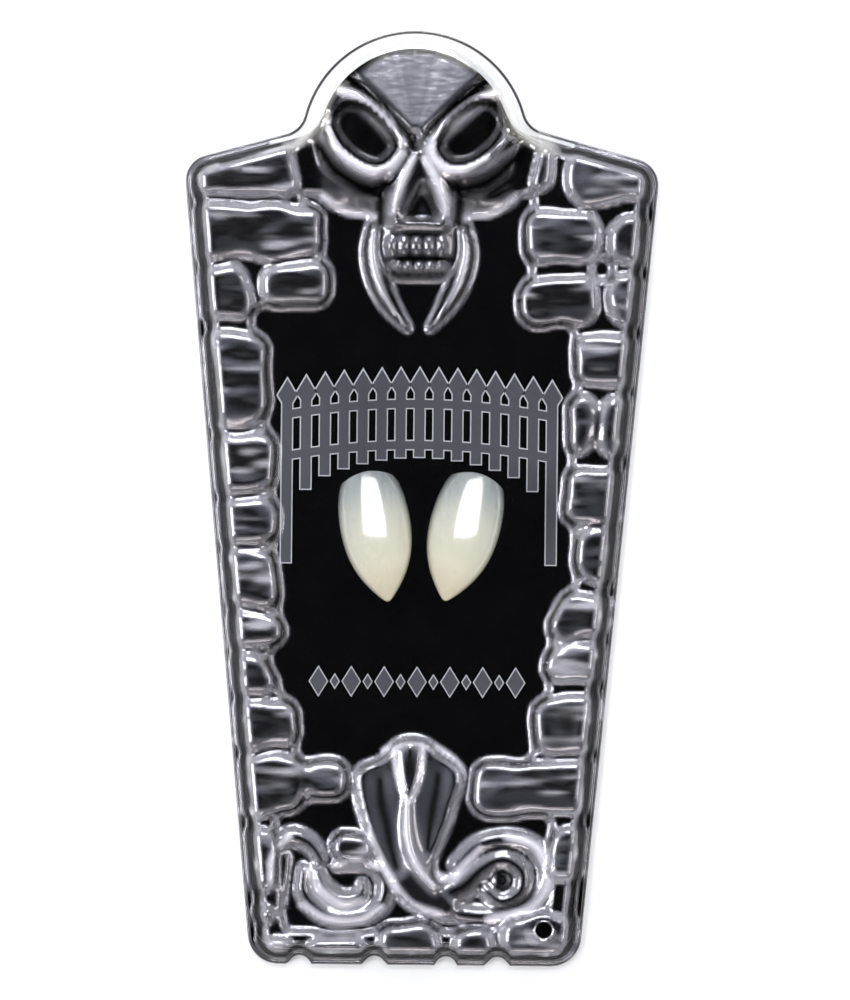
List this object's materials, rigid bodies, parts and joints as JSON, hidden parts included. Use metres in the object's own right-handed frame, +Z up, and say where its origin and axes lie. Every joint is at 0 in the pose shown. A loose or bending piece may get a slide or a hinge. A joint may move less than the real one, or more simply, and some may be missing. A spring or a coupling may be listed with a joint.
{
  "type": "pair of vampire fang caps in a coffin-shaped display pack",
  "caption": "Hollow tooth-coloured fang caps on a black card, under a clear formed coffin-shaped cover with stone blocks, a skull and a snake in relief.",
  "frame": {"origin": "on the surface the pack lies on, under the middle of its outline", "axes": "+Z up out of the front of the pack, +Y towards the domed head end with the skull, +X to the right seen from the front"},
  "size_m": [0.0642, 0.127, 0.016],
  "materials": {
    "clear_sheet": "clear glossy formed plastic sheet",
    "card": "smooth black printed card with a grey print",
    "cap": "polished tooth-coloured resin, cooler and clearer at the gum edge"
  },
  "bodies": {
    "root": {"pack_cover": "clear_sheet", "backing_card": "card", "fang_cap_left": "cap", "fang_cap_right": "cap"}
  },
  "joints": []
}
